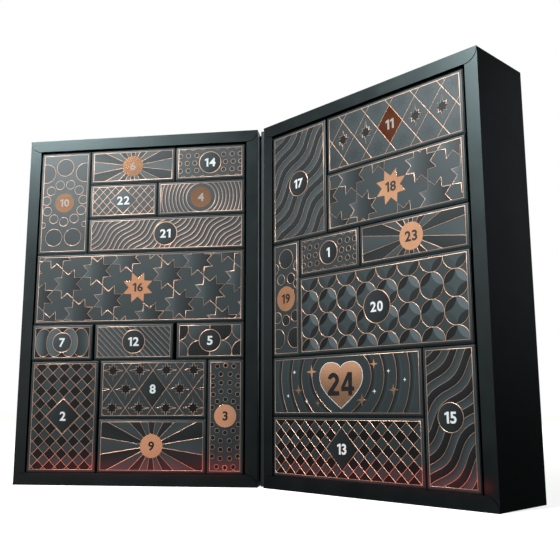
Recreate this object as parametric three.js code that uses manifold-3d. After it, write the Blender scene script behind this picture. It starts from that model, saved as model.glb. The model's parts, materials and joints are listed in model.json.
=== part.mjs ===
// An advent calendar that opens like a book: two shallow trays of loose cartons, one carton for
// each day up to 24, joined along their front edges by a creased spine strip.
// Millimetres, +Z up, the cartons' faces towards -Y, the spine upright on X = 0.
import * as THREE from 'three';
import { mergeVertices } from 'three/addons/utils/BufferGeometryUtils.js';
import Module from 'manifold-3d';

// Each tray is a rigid case with a rim of four boards, which fold back into its inner walls.
const TRAY_WIDTH = 325;
const TRAY_HEIGHT = 470;
const TRAY_DEPTH = 95;
const RIM_WIDTH = 15.5;
const RIM_BOARD = 2;
const LINER_BOARD = 2;
const CASE_BOARD = 2;
const BACK_EDGE_RADIUS = 3;

// The top and bottom rims lap over the ends of the upright ones, which lie this much further back.
const LAP_STEP = 0.4;

// Glued pieces stand this far apart.
const SEAM = 0.3;

// The spine strip is paper from crease to crease, with a stiff rib down its middle.
const SPINE_WIDTH = 13;
const SPINE_PAPER = 0.6;
const SPINE_PAPER_END_GAP = 7;
const RIB_WIDTH = 6;
const RIB_THICKNESS = 2;
const RIB_END_GAP = 1;

// The rims come this close when the calendar is shut.
const CLOSED_GAP = 0.6;

// Each tray stands this far forward of flat, in degrees.
const TRAY_ANGLE = 18.9;

// The cartons fill a grid of equal units, with play at the top and beside each row.
const COLUMNS = 6;
const ROWS = 9;
const TOP_PLAY = 2;
const ROW_PLAY = 3;
const LEFT_ROW_START = 1.5;
const RIGHT_ROW_START = 0.4;
const SIDE_GAP = 1.2;
const STACK_GAP = 0.4;

// A carton's face lies behind the rim, and some cartons have crept forward.
const FACE_SETBACK = 2;
const CREEP = 1.5;
const CARTON_BACK_GAP = 3;

// A carton is folded card, closed in front by a flap with a tongue that tucks in at the bottom.
const CARD = 0.8;
const CARTON_EDGE_RADIUS = 1.2;
const FLAP_GAP = 0.3;
const TONGUE_LENGTH = 12;
const TONGUE_INSET = 2;
const TONGUE_CORNER_RADIUS = 7;
const TONGUE_LIFT = 0.3;

// Each arc of an edge gets twice this many facets, and a round end's more.
const EDGE_SEGMENTS = 2;
const END_SEGMENTS = 6;

// A cutter runs this far past what it cuts.
const OVERCUT = 5;

const WRAP_PAPER = { color: 0x24292a, roughness: 0.5, metalness: 0 };
const CASE_PAPER = { color: 0x0c0c0d, roughness: 0.55, metalness: 0 };
const SPINE_CLOTH = { color: 0x2b2b2c, roughness: 0.6, metalness: 0 };
const CARTON_CARD = { color: 0x151718, roughness: 0.6, metalness: 0 };
const PRINTED_CARD = { color: 0x3c4647, roughness: 0.45, metalness: 0 };

// Places count grid units from the tray's lower left corner, as seen from the front.
const LEFT_CARTONS = [
  { day: 2, column: 0, row: 0, across: 1.97, up: 3 },
  { day: 9, column: 2, row: 0, across: 3, up: 1.43 },
  { day: 8, column: 2, row: 1.43, across: 3, up: 1.57 },
  { day: 3, column: 5, row: 0, across: 1, up: 3 },
  { day: 7, column: 0, row: 3, across: 1.77, up: 1, crept: true },
  { day: 12, column: 1.8, row: 3, across: 2.25, up: 1 },
  { day: 5, column: 4.12, row: 3, across: 1.88, up: 1 },
  { day: 16, column: 0, row: 4, across: 6, up: 2 },
  { day: 10, column: 0, row: 6, across: 1.5, up: 3 },
  { day: 21, column: 1.5, row: 6, across: 4.5, up: 1 },
  { day: 22, column: 1.5, row: 7, across: 2, up: 1 },
  { day: 4, column: 3.5, row: 7, across: 2.5, up: 1 },
  { day: 6, column: 1.5, row: 8, across: 2.5, up: 1 },
  { day: 14, column: 4, row: 8, across: 2, up: 1 },
];
const RIGHT_CARTONS = [
  { day: 13, column: 0, row: 0, across: 4.68, up: 1.5 },
  { day: 24, column: 0, row: 1.5, across: 4.68, up: 1.5 },
  { day: 15, column: 4.68, row: 0, across: 1.32, up: 3 },
  { day: 19, column: 0, row: 3, across: 1, up: 3 },
  { day: 20, column: 1, row: 3, across: 5, up: 2, crept: true },
  { day: 1, column: 1, row: 5, across: 2, up: 1 },
  { day: 23, column: 3, row: 5, across: 3, up: 1 },
  { day: 17, column: 0, row: 6, across: 1.97, up: 3 },
  { day: 18, column: 2, row: 6, across: 4, up: 1.5, crept: true },
  { day: 11, column: 2, row: 7.5, across: 4, up: 1.5 },
];

const wasm = await Module();
wasm.setup();

// The same closed surface as a solid that can be joined and cut.
function solidOf(geometry) {
  geometry.deleteAttribute('normal');
  geometry.deleteAttribute('uv');
  const merged = mergeVertices(geometry);
  return new wasm.Manifold(new wasm.Mesh({
    numProp: 3,
    vertProperties: merged.attributes.position.array,
    triVerts: new Uint32Array(merged.index.array),
  }));
}

function geometryOf(solid) {
  const mesh = solid.getMesh();
  const geometry = new THREE.BufferGeometry();
  geometry.setAttribute('position', new THREE.BufferAttribute(mesh.vertProperties, 3));
  geometry.setIndex(new THREE.BufferAttribute(mesh.triVerts, 1));
  geometry.computeVertexNormals();
  return geometry;
}

function block([left, right], [front, back], [bottom, top]) {
  const geometry = new THREE.BoxGeometry(right - left, back - front, top - bottom);
  geometry.translate((left + right) / 2, (front + back) / 2, (bottom + top) / 2);
  return solidOf(geometry);
}

// An outline drawn in x and z, as a plate from front to back.
function plate(outline, front, back, curveSegments) {
  const depth = back - front;
  const geometry = new THREE.ExtrudeGeometry(outline, { depth, bevelEnabled: false, curveSegments });
  geometry.rotateX(Math.PI / 2);
  geometry.translate(0, back, 0);
  return solidOf(geometry);
}

function roundedRectangle(width, height, radius) {
  const outline = new THREE.Shape();
  outline.absarc(width - radius, height - radius, radius, 0, Math.PI / 2);
  outline.absarc(radius, height - radius, radius, Math.PI / 2, Math.PI);
  outline.absarc(radius, radius, radius, Math.PI, Math.PI * 1.5);
  outline.absarc(width - radius, radius, radius, Math.PI * 1.5, Math.PI * 2);
  return outline;
}

function meshOf(name, solid, look) {
  const mesh = new THREE.Mesh(geometryOf(solid), new THREE.MeshStandardMaterial(look));
  mesh.name = name;
  return mesh;
}

// The inner walls and the case's walls run from behind the rim to the back panel.
const LINER_BACK = TRAY_DEPTH - CASE_BOARD - SEAM;
const CASE_FRONT = RIM_BOARD + SEAM;

// An open box of greyboard whose back edges are rounded.
function trayCase() {
  const outline = new THREE.Shape([
    new THREE.Vector2(0, 0),
    new THREE.Vector2(TRAY_WIDTH, 0),
    new THREE.Vector2(TRAY_WIDTH, TRAY_HEIGHT),
    new THREE.Vector2(0, TRAY_HEIGHT),
  ]);
  const geometry = new THREE.ExtrudeGeometry(outline, {
    depth: TRAY_DEPTH,
    bevelThickness: BACK_EDGE_RADIUS,
    bevelSize: BACK_EDGE_RADIUS,
    bevelOffset: -BACK_EDGE_RADIUS,
    bevelSegments: EDGE_SEGMENTS * 2,
  });
  geometry.rotateX(Math.PI / 2);
  geometry.translate(0, TRAY_DEPTH - BACK_EDGE_RADIUS, 0);
  const front = block(
    [-OVERCUT, TRAY_WIDTH + OVERCUT],
    [-BACK_EDGE_RADIUS - OVERCUT, CASE_FRONT],
    [-OVERCUT, TRAY_HEIGHT + OVERCUT],
  );
  const inside = block(
    [CASE_BOARD, TRAY_WIDTH - CASE_BOARD],
    [-OVERCUT, TRAY_DEPTH - CASE_BOARD],
    [CASE_BOARD, TRAY_HEIGHT - CASE_BOARD],
  );
  return solidOf(geometry).subtract(front).subtract(inside);
}

// The top rim, whose ends are quarter rounds, with the inner wall that hangs from it.
function lappingRim() {
  const face = new THREE.Shape();
  face.moveTo(0, TRAY_HEIGHT);
  face.absarc(RIM_WIDTH, TRAY_HEIGHT, RIM_WIDTH, Math.PI, Math.PI * 1.5);
  face.absarc(TRAY_WIDTH - RIM_WIDTH, TRAY_HEIGHT, RIM_WIDTH, Math.PI * 1.5, Math.PI * 2);
  const liner = block(
    [RIM_WIDTH, TRAY_WIDTH - RIM_WIDTH],
    [0, LINER_BACK],
    [TRAY_HEIGHT - RIM_WIDTH, TRAY_HEIGHT - RIM_WIDTH + LINER_BOARD],
  );
  return plate(face, 0, RIM_BOARD, END_SEGMENTS).add(liner);
}

// The left upright rim, hollowed at its ends to follow the round ends that lap over it.
function uprightRim() {
  const end = RIM_WIDTH + SEAM;
  const face = block([0, RIM_WIDTH], [LAP_STEP, RIM_BOARD], [0, TRAY_HEIGHT]);
  const liner = block(
    [RIM_WIDTH - LINER_BOARD, RIM_WIDTH],
    [LAP_STEP, LINER_BACK],
    [end, TRAY_HEIGHT - end],
  );
  const disc = new THREE.CylinderGeometry(end, end, RIM_BOARD + 2 * OVERCUT, END_SEGMENTS * 8);
  const lowerEnd = solidOf(disc.clone().translate(RIM_WIDTH, 0, 0));
  const upperEnd = solidOf(disc.clone().translate(RIM_WIDTH, 0, TRAY_HEIGHT));
  return face.subtract(lowerEnd).subtract(upperEnd).add(liner);
}

// Turned half round in its own plane, a rim board is the one opposite.
function opposite(mesh) {
  mesh.rotation.y = Math.PI;
  mesh.position.set(TRAY_WIDTH, 0, TRAY_HEIGHT);
  return mesh;
}

// The flap hangs from the front edge of the carton's top, and covers the edges of the other sides.
function cartonBody(width, height, depth) {
  const outline = roundedRectangle(width, height, CARTON_EDGE_RADIUS);
  const inside = block([CARD, width - CARD], [-OVERCUT, depth - CARD], [CARD, height - CARD]);
  const flapSeat = block(
    [-OVERCUT, width + OVERCUT],
    [-OVERCUT, CARD + FLAP_GAP],
    [-OVERCUT, height - CARD],
  );
  return plate(outline, 0, depth, EDGE_SEGMENTS).subtract(inside).subtract(flapSeat);
}

// The tongue slopes up, so that its tip clears the carton's bottom as the flap swings out.
function frontFlap(width, height) {
  const flapHeight = height - CARD - FLAP_GAP;
  const outline = roundedRectangle(width, height, CARTON_EDGE_RADIUS);
  const aboveFlap = block(
    [-OVERCUT, width + OVERCUT],
    [-OVERCUT, CARD + OVERCUT],
    [flapHeight, height + OVERCUT],
  );
  const rise = TONGUE_LENGTH ** 2 / (2 * flapHeight) + TONGUE_LIFT;
  const left = CARD + TONGUE_INSET;
  const right = width - left;
  const radius = TONGUE_CORNER_RADIUS;
  const tip = TONGUE_LENGTH + CARD / 2;
  const tongue = new THREE.Shape();
  tongue.moveTo(left, 0);
  tongue.lineTo(right, 0);
  tongue.absarc(right - radius, tip - radius, radius, 0, Math.PI / 2);
  tongue.absarc(left + radius, tip - radius, radius, Math.PI / 2, Math.PI);
  const geometry = new THREE.ExtrudeGeometry(tongue, {
    depth: CARD,
    bevelEnabled: false,
    curveSegments: EDGE_SEGMENTS,
  });
  geometry.rotateX(Math.atan2(rise, TONGUE_LENGTH));
  geometry.translate(0, CARD / 2, CARD + FLAP_GAP);
  return plate(outline, 0, CARD, EDGE_SEGMENTS).subtract(aboveFlap).add(solidOf(geometry));
}

const COLUMN_PITCH = (TRAY_WIDTH - 2 * RIM_WIDTH - ROW_PLAY) / COLUMNS;
const ROW_PITCH = (TRAY_HEIGHT - 2 * RIM_WIDTH - SEAM - TOP_PLAY) / ROWS;
const CARTON_DEPTH = TRAY_DEPTH - CASE_BOARD - CARTON_BACK_GAP - FACE_SETBACK;

function carton({ day, column, row, across, up, crept }, rowStart) {
  const width = across * COLUMN_PITCH - SIDE_GAP;
  const height = up * ROW_PITCH - STACK_GAP;
  const name = `carton_${String(day).padStart(2, '0')}`;
  const pieces = new THREE.Group();
  pieces.add(meshOf(`${name}_body`, cartonBody(width, height, CARTON_DEPTH), CARTON_CARD));
  pieces.add(meshOf(`${name}_flap`, frontFlap(width, height), PRINTED_CARD));
  pieces.position.set(
    RIM_WIDTH + rowStart + column * COLUMN_PITCH,
    crept ? FACE_SETBACK - CREEP : FACE_SETBACK,
    RIM_WIDTH + SEAM + row * ROW_PITCH,
  );
  return pieces;
}

// A tray's origin is the lower left corner of its rim, as seen from the front.
function tray(side, leftRim, rightRim, cartons, rowStart) {
  const pieces = new THREE.Group();
  pieces.add(meshOf(`${side}_tray_case`, trayCase(), CASE_PAPER));
  pieces.add(meshOf(`${side}_tray_top_rim`, lappingRim(), WRAP_PAPER));
  pieces.add(opposite(meshOf(`${side}_tray_bottom_rim`, lappingRim(), WRAP_PAPER)));
  pieces.add(meshOf(`${side}_tray_${leftRim}_rim`, uprightRim(), WRAP_PAPER));
  pieces.add(opposite(meshOf(`${side}_tray_${rightRim}_rim`, uprightRim(), WRAP_PAPER)));
  for (const place of cartons) {
    pieces.add(carton(place, rowStart));
  }
  return pieces;
}

// The strip lies behind its creases, so that the trays' sides can come up in front of it.
function spineStrip() {
  const paperHalf = SPINE_WIDTH / 2 - SEAM;
  const paperFront = SEAM + (RIB_THICKNESS - SPINE_PAPER) / 2;
  const paper = block(
    [-paperHalf, paperHalf],
    [paperFront, paperFront + SPINE_PAPER],
    [SPINE_PAPER_END_GAP, TRAY_HEIGHT - SPINE_PAPER_END_GAP],
  );
  const rib = block(
    [-RIB_WIDTH / 2, RIB_WIDTH / 2],
    [SEAM, SEAM + RIB_THICKNESS],
    [RIB_END_GAP, TRAY_HEIGHT - RIB_END_GAP],
  );
  return paper.add(rib);
}

// A crease lies on the tray's outer side, half the strip's width behind the rim, so that the
// rims meet when the calendar is shut and the strip then covers their seam.
const RIM_TO_CREASE = (SPINE_WIDTH - CLOSED_GAP) / 2;
const ANGLE = THREE.MathUtils.degToRad(TRAY_ANGLE);

const calendar = new THREE.Group();
calendar.add(meshOf('hinge_spine', spineStrip(), SPINE_CLOTH));

const rightCrease = new THREE.Group();
rightCrease.position.x = SPINE_WIDTH / 2;
rightCrease.rotation.z = -ANGLE;
const rightTray = tray('right', 'hinge', 'outer', RIGHT_CARTONS, RIGHT_ROW_START);
rightTray.position.y = -RIM_TO_CREASE;
rightCrease.add(rightTray);
calendar.add(rightCrease);

const leftCrease = new THREE.Group();
leftCrease.position.x = -SPINE_WIDTH / 2;
leftCrease.rotation.z = ANGLE;
const leftTray = tray('left', 'outer', 'hinge', LEFT_CARTONS, LEFT_ROW_START);
leftTray.position.set(-TRAY_WIDTH, -RIM_TO_CREASE, 0);
leftCrease.add(leftTray);
calendar.add(leftCrease);

// The origin is the middle of the footprint, on the surface that the calendar stands on.
const bounds = new THREE.Box3().setFromObject(calendar, true);
calendar.position.y = -(bounds.min.y + bounds.max.y) / 2;

export default calendar;
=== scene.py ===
import json
import math

import bpy
from mathutils import Matrix, Vector


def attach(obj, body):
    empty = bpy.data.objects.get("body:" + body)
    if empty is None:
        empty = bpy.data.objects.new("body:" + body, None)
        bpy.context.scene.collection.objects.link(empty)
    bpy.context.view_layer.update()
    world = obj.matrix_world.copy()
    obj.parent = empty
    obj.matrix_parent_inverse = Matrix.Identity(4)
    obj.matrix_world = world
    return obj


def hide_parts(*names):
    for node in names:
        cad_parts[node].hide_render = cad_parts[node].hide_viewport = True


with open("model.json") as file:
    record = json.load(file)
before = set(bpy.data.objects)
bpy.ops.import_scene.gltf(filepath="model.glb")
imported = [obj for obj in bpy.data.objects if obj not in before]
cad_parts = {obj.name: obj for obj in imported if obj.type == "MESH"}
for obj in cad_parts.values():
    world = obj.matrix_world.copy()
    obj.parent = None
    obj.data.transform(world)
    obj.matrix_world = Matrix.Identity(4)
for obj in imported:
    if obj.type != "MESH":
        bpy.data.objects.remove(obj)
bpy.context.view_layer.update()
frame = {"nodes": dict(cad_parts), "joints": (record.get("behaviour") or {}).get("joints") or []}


# The photographer's table: a wide sheet of white paper under the calendar, one big soft lamp high
# on the left, dim wide boards in front, at both sides and behind, and a narrow red strip along each
# tray's foot. The room is seen as white, but lights the calendar only a little.
FLOOR_SIZE = 16.0
FLOOR_WHITE = "F4F4F2"
FLOOR_GLOW = (0.90, 1.06)
FLOOR_GLOW_REACH = (0.35, 1.0)
ROOM_WHITE = "FFFFFF"
ROOM_LIGHT = "2A2D2E"
CAMERA_PLACE = (0.4565, -0.8317, 0.0989)
CAMERA_TURN = 27.0
CAMERA_PITCH = 9.74
CAMERA_ROLL = -0.16
CAMERA_LENS = 47.73
SENSOR = 36.0
LAMPS = {
    "key_lamp": {
        "place": (-0.55, -1.30, 1.22), "aim": (0.0, -0.05, 0.25), "size": (0.50, 0.40),
        "watts": 37.0, "colour": "F6FCFF",
    },
    "front_board": {
        "place": (-0.42, -2.38, 0.38), "aim": (-0.22, 0.0, 0.36), "size": (1.47, 1.10),
        "watts": 3.4, "colour": "FFE9E0",
    },
    "side_board": {
        "place": (-1.19, -0.90, 0.56), "aim": (0.15, -0.05, 0.30), "size": (0.90, 0.70),
        "watts": 1.6, "colour": "FFF6F0",
    },
    "left_red_strip": {
        "place": (-0.152, -0.069, 0.0195), "aim": (-0.162, -0.040, 0.030), "size": (0.28, 0.006),
        "watts": 0.011, "colour": "FF2010", "spread": 90.0,
    },
    "right_red_strip": {
        "place": (0.152, -0.069, 0.0195), "aim": (0.162, -0.040, 0.030), "size": (0.28, 0.006),
        "watts": 0.011, "colour": "FF2010", "spread": 90.0,
    },
    "edge_board": {
        "place": (1.05, -1.62, 0.45), "aim": (0.10, -0.05, 0.25), "size": (0.50, 0.90),
        "watts": 1.6, "colour": "F0FAFF",
    },
    "back_board": {
        "place": (0.0, 3.20, 1.30), "aim": (0.0, 0.10, 0.25), "size": (5.00, 2.00),
        "watts": 31.0, "colour": "F4FAFF",
    },
}


def linear(hex_colour, alpha=1.0):
    """A colour written as an sRGB hex value, as the linear values that Blender works in."""
    parts = [int(hex_colour[i:i + 2], 16) / 255 for i in (0, 2, 4)]
    return (*[p / 12.92 if p <= 0.04045 else ((p + 0.055) / 1.055) ** 2.4 for p in parts], alpha)


def add_node(material, kind, inputs=(), **settings):
    """Adds a node with its settings, and fills its inputs with values or other nodes' outputs."""
    node = material.node_tree.nodes.new(kind)
    for name, value in settings.items():
        setattr(node, name, value)
    for name, value in dict(inputs).items():
        if isinstance(value, bpy.types.NodeSocket):
            material.node_tree.links.new(value, node.inputs[name])
        else:
            node.inputs[name].default_value = value
    return node


def new_material(name, values):
    """A material whose shader has these values on its own sockets."""
    material = bpy.data.materials.new(name)
    material.use_nodes = True
    shader = material.node_tree.nodes["Principled BSDF"]
    for socket, value in values.items():
        shader.inputs[socket].default_value = value
    return material, shader


def connect(material, shader, outputs):
    """Feeds the shader's sockets from nodes' outputs."""
    for socket, output in outputs.items():
        material.node_tree.links.new(output, shader.inputs[socket])


bpy.ops.object.select_all(action="DESELECT")
bpy.ops.mesh.primitive_plane_add(size=FLOOR_SIZE)
floor = bpy.context.object
floor.name = "paper_floor"
floor.visible_glossy = False
floor.visible_diffuse = False
floor_paper, floor_shader = new_material("seamless_paper", {
    "Base Color": linear(FLOOR_WHITE),
    "Roughness": 0.9,
    "Emission Color": linear(FLOOR_WHITE),
})
floor_place = add_node(floor_paper, "ShaderNodeTexCoord")
floor_reach = add_node(floor_paper, "ShaderNodeVectorMath", {0: floor_place.outputs["Object"]},
                       operation="LENGTH")
floor_light = add_node(floor_paper, "ShaderNodeMapRange", {
    "Value": floor_reach.outputs["Value"], "From Min": FLOOR_GLOW_REACH[0], "From Max": FLOOR_GLOW_REACH[1],
    "To Min": FLOOR_GLOW[0], "To Max": FLOOR_GLOW[1]})
connect(floor_paper, floor_shader, {"Emission Strength": floor_light.outputs["Result"]})
floor.data.materials.append(floor_paper)

for lamp_name, lamp in LAMPS.items():
    bpy.ops.object.light_add(type="AREA", location=lamp["place"])
    light = bpy.context.object
    light.name = lamp_name
    light.data.shape = "RECTANGLE"
    light.data.size, light.data.size_y = lamp["size"]
    light.data.energy = lamp["watts"]
    light.data.color = linear(lamp["colour"])[:3]
    light.data.spread = math.radians(lamp.get("spread", 180.0))
    light.visible_camera = False
    aim = Vector(lamp["aim"]) - Vector(lamp["place"])
    light.rotation_euler = aim.to_track_quat("-Z", "Y").to_euler()

world = bpy.data.worlds.new("white_room")
bpy.context.scene.world = world
world.use_nodes = True
room = world.node_tree.nodes["Background"]
room.inputs["Color"].default_value = linear(ROOM_LIGHT)
room.inputs["Strength"].default_value = 1.0
seen_room = add_node(world, "ShaderNodeBackground", {"Color": linear(ROOM_WHITE), "Strength": 1.0})
path = add_node(world, "ShaderNodeLightPath")
split = add_node(world, "ShaderNodeMixShader", {
    0: path.outputs["Is Camera Ray"],
    1: room.outputs["Background"],
    2: seen_room.outputs["Background"],
})
connect(world, world.node_tree.nodes["World Output"], {"Surface": split.outputs["Shader"]})

bpy.ops.object.camera_add(location=CAMERA_PLACE)
camera = bpy.context.object
turn, pitch = math.radians(CAMERA_TURN), math.radians(CAMERA_PITCH)
look = Vector((-math.sin(turn) * math.cos(pitch), math.cos(turn) * math.cos(pitch), math.sin(pitch)))
upright = look.to_track_quat("-Z", "Y").to_matrix()
camera.rotation_euler = (upright @ Matrix.Rotation(math.radians(CAMERA_ROLL), 3, "Z")).to_euler()
camera.data.sensor_width = SENSOR
camera.data.lens = CAMERA_LENS
bpy.context.scene.camera = camera
bpy.context.scene.view_settings.view_transform = "Standard"


# The tray cases: shallow greyboard boxes, wrapped in near-black paper that is pulled tight over
# rounded back edges and turned in at the front, where the rim boards are glued on.
MM = 0.001
TRAY_WIDTH = 325 * MM
TRAY_HEIGHT = 470 * MM
TRAY_DEPTH = 95 * MM
TRAY_ANGLE = 18.9
RIM_TO_CREASE = 6.2 * MM
CASE_BOARD = 2 * MM
CASE_FRONT = 2.2 * MM
BACK_EDGE_RADIUS = 3 * MM
CORNER_RADIUS = 0.5 * MM
WRAP_GRAIN = 0.35 * MM
FILM_TINT = "DDF6F6"
CASE_BLACK = "0B0B0C"
CASE_BLACK_WORN = "111213"
creases = {joint["name"]: Vector(joint["pos_m"]) for joint in frame["joints"] if "crease" in joint["name"]}


def tray_place(side):
    """Where a tray's lower left rim corner lies, and how the tray is turned."""
    crease = creases[f"{side}_crease"]
    angle, start = (-TRAY_ANGLE, 0.0) if side == "right" else (TRAY_ANGLE, -TRAY_WIDTH)
    to_crease = Matrix.Translation((crease.x, crease.y, 0.0))
    turned = Matrix.Rotation(math.radians(angle), 4, "Z")
    return to_crease @ turned @ Matrix.Translation((start, -RIM_TO_CREASE, 0.0))


def block(name, low, high):
    """A box between two corners, as a start for a piece."""
    bpy.ops.object.select_all(action="DESELECT")
    bpy.ops.mesh.primitive_cube_add(size=1.0)
    piece = bpy.context.object
    piece.name = piece.data.name = name
    piece.scale = Vector(high) - Vector(low)
    piece.location = (Vector(high) + Vector(low)) / 2
    bpy.ops.object.transform_apply(location=True, rotation=False, scale=True)
    return piece


def pick(piece, kind, wanted):
    """Opens a piece in edit mode, with only the faces or edges selected that are wanted."""
    bpy.ops.object.mode_set(mode="EDIT")
    bpy.ops.mesh.select_mode(type=kind)
    bpy.ops.mesh.select_all(action="DESELECT")
    bpy.ops.object.mode_set(mode="OBJECT")
    mesh = piece.data
    for part in mesh.polygons if kind == "FACE" else mesh.edges:
        corners = [mesh.vertices[i].co for i in part.vertices]
        part.select = wanted(*corners)
    bpy.ops.object.mode_set(mode="EDIT")


def bevel_picked(piece, wanted, width, segments=3):
    """Rounds the edges that are wanted."""
    pick(piece, "EDGE", wanted)
    bpy.ops.mesh.bevel(offset=width, segments=segments, affect="EDGES")
    bpy.ops.object.mode_set(mode="OBJECT")


def open_front(piece, depth):
    """Takes away the faces in front of a depth, so that the box is open there."""
    pick(piece, "FACE", lambda *corners: all(c.y < depth for c in corners))
    bpy.ops.mesh.delete(type="FACE")
    bpy.ops.object.mode_set(mode="OBJECT")


def finish_with(piece, kind, **settings):
    """Adds a modifier with its settings and applies it."""
    modifier = piece.modifiers.new(kind.title(), kind)
    for name, value in settings.items():
        setattr(modifier, name, value)
    bpy.context.view_layer.objects.active = piece
    bpy.ops.object.modifier_apply(modifier=modifier.name)


def round_edges(piece, width, segments=3):
    """Rounds all sharp edges of a piece."""
    finish_with(piece, "BEVEL", width=width, segments=segments, angle_limit=math.radians(50))


def select_only(*pieces):
    """Selects these pieces and nothing else, and makes the first one active."""
    bpy.ops.object.select_all(action="DESELECT")
    for piece in pieces:
        piece.select_set(True)
    bpy.context.view_layer.objects.active = pieces[0]


def join_to(*pieces):
    """Joins pieces to the first one."""
    select_only(*pieces)
    bpy.ops.object.join()
    return pieces[0]


def copied(piece, name):
    """A copy of a piece, with its own mesh."""
    twin = piece.copy()
    twin.data = piece.data.copy()
    twin.name = twin.data.name = name
    bpy.context.collection.objects.link(twin)
    return twin


def hand_over(piece, place, material, body, nodes=(), smooth=35):
    """Moves a finished mesh to its place, and gives it its finish and the body it rides on. A piece
    that takes the place of CAD nodes is of board, whose broad sides are kept flat to the light."""
    select_only(piece)
    piece.data.transform(place)
    piece.data.materials.clear()
    piece.data.materials.append(material)
    bpy.ops.object.shade_smooth_by_angle(angle=math.radians(smooth))
    if nodes:
        finish_with(piece, "WEIGHTED_NORMAL", keep_sharp=True)
        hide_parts(*nodes)
    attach(piece, body)


# Matt laminated paper, printed solid black: the film gives a soft even sheen with a faint orange
# peel, and the paper's fibres show as slight cloudiness.
def wrapping_paper(name, colour, worn_colour, roughness, grain=WRAP_GRAIN):
    material, shader = new_material(name, {"Specular IOR Level": 0.5, "IOR": 1.5,
                                           "Specular Tint": linear(FILM_TINT)})
    own = add_node(material, "ShaderNodeTexCoord")
    cloud = add_node(material, "ShaderNodeTexNoise", {
        "Vector": own.outputs["Object"], "Scale": 1 / (40 * MM), "Detail": 4.0, "Roughness": 0.6})
    tint = add_node(material, "ShaderNodeValToRGB", {"Fac": cloud.outputs["Fac"]})
    tint.color_ramp.elements[0].position = 0.35
    tint.color_ramp.elements[0].color = linear(colour)
    tint.color_ramp.elements[1].position = 0.75
    tint.color_ramp.elements[1].color = linear(worn_colour)
    gloss = add_node(material, "ShaderNodeMapRange", {
        "Value": cloud.outputs["Fac"], "From Min": 0.3, "From Max": 0.7,
        "To Min": roughness - 0.03, "To Max": roughness + 0.04})
    fibre = add_node(material, "ShaderNodeTexNoise", {
        "Vector": own.outputs["Object"], "Scale": 1 / grain, "Detail": 2.0, "Roughness": 0.5})
    relief = add_node(material, "ShaderNodeBump", {
        "Height": fibre.outputs["Fac"], "Strength": 0.25, "Distance": 0.02 * MM})
    connect(material, shader, {
        "Base Color": tint.outputs["Color"],
        "Roughness": gloss.outputs["Result"],
        "Normal": relief.outputs["Normal"],
    })
    return material


case_paper = wrapping_paper("black_laminated_paper", CASE_BLACK, CASE_BLACK_WORN, 0.46)
left_case = block("left_tray_wrap", (0, CASE_FRONT, 0), (TRAY_WIDTH, TRAY_DEPTH, TRAY_HEIGHT))
open_front(left_case, CASE_FRONT + MM)
bevel_picked(left_case, lambda a, b: min(a.y, b.y) > TRAY_DEPTH - MM, BACK_EDGE_RADIUS, 6)
round_edges(left_case, CORNER_RADIUS, 2)
finish_with(left_case, "SOLIDIFY", thickness=CASE_BOARD, offset=-1.0)
right_case = copied(left_case, "right_tray_wrap")
for side, case in (("left", left_case), ("right", right_case)):
    hand_over(case, tray_place(side), case_paper, f"{side}_tray", [f"{side}_tray_case"])


# The rims: strips of board wrapped in charcoal laminated paper and folded back into the trays as
# inner walls. The top and bottom ones lap over the upright ones, with quarter-round ends.
RIM_WIDTH = 15.5 * MM
RIM_FOOT = TRAY_HEIGHT - RIM_WIDTH
QUARTER_ROUND = RIM_WIDTH - 0.02 * MM
RIM_BOARD = CASE_FRONT
RIM_EDGE_RADIUS = 0.7 * MM
LAP_STEP = 0.7 * MM
LAP_GAP = 0.45 * MM
LINER_BOARD = 2 * MM
LINER_BACK = 92.7 * MM
LINER_FRONT = 1 * MM
RIM_CHARCOAL = "0B0D0E"
RIM_CHARCOAL_WORN = "111415"
rim_paper = wrapping_paper("charcoal_laminated_paper", RIM_CHARCOAL, RIM_CHARCOAL_WORN, 0.34)
lapping_rim = block("lapping_rim", (0, 0, RIM_FOOT), (TRAY_WIDTH, RIM_BOARD, TRAY_HEIGHT))
bevel_picked(
    lapping_rim, lambda a, b: max(a.z, b.z) < RIM_FOOT + MM and abs(a.y - b.y) > MM, QUARTER_ROUND, 14)
round_edges(lapping_rim, RIM_EDGE_RADIUS)
lapping_wall = block(
    "lapping_rim_wall",
    (RIM_WIDTH, LINER_FRONT, RIM_FOOT),
    (TRAY_WIDTH - RIM_WIDTH, LINER_BACK, RIM_FOOT + LINER_BOARD),
)
join_to(lapping_rim, lapping_wall)

upright_rim = block("upright_rim", (0, LAP_STEP, 0), (RIM_WIDTH, RIM_BOARD, TRAY_HEIGHT))
for end in (0, TRAY_HEIGHT):
    bpy.ops.mesh.primitive_cylinder_add(
        vertices=96, radius=RIM_WIDTH + LAP_GAP, depth=4 * RIM_WIDTH,
        location=(RIM_WIDTH, 0, end), rotation=(math.pi / 2, 0, 0),
    )
    cutter = bpy.context.object
    finish_with(upright_rim, "BOOLEAN", object=cutter, operation="DIFFERENCE", solver="EXACT")
    bpy.data.objects.remove(cutter)
round_edges(upright_rim, RIM_EDGE_RADIUS)
upright_wall = block(
    "upright_rim_wall",
    (RIM_WIDTH - LINER_BOARD, LINER_FRONT + LAP_STEP, RIM_WIDTH + LAP_GAP),
    (RIM_WIDTH, LINER_BACK, TRAY_HEIGHT - (RIM_WIDTH + LAP_GAP)),
)
join_to(upright_rim, upright_wall)

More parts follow.
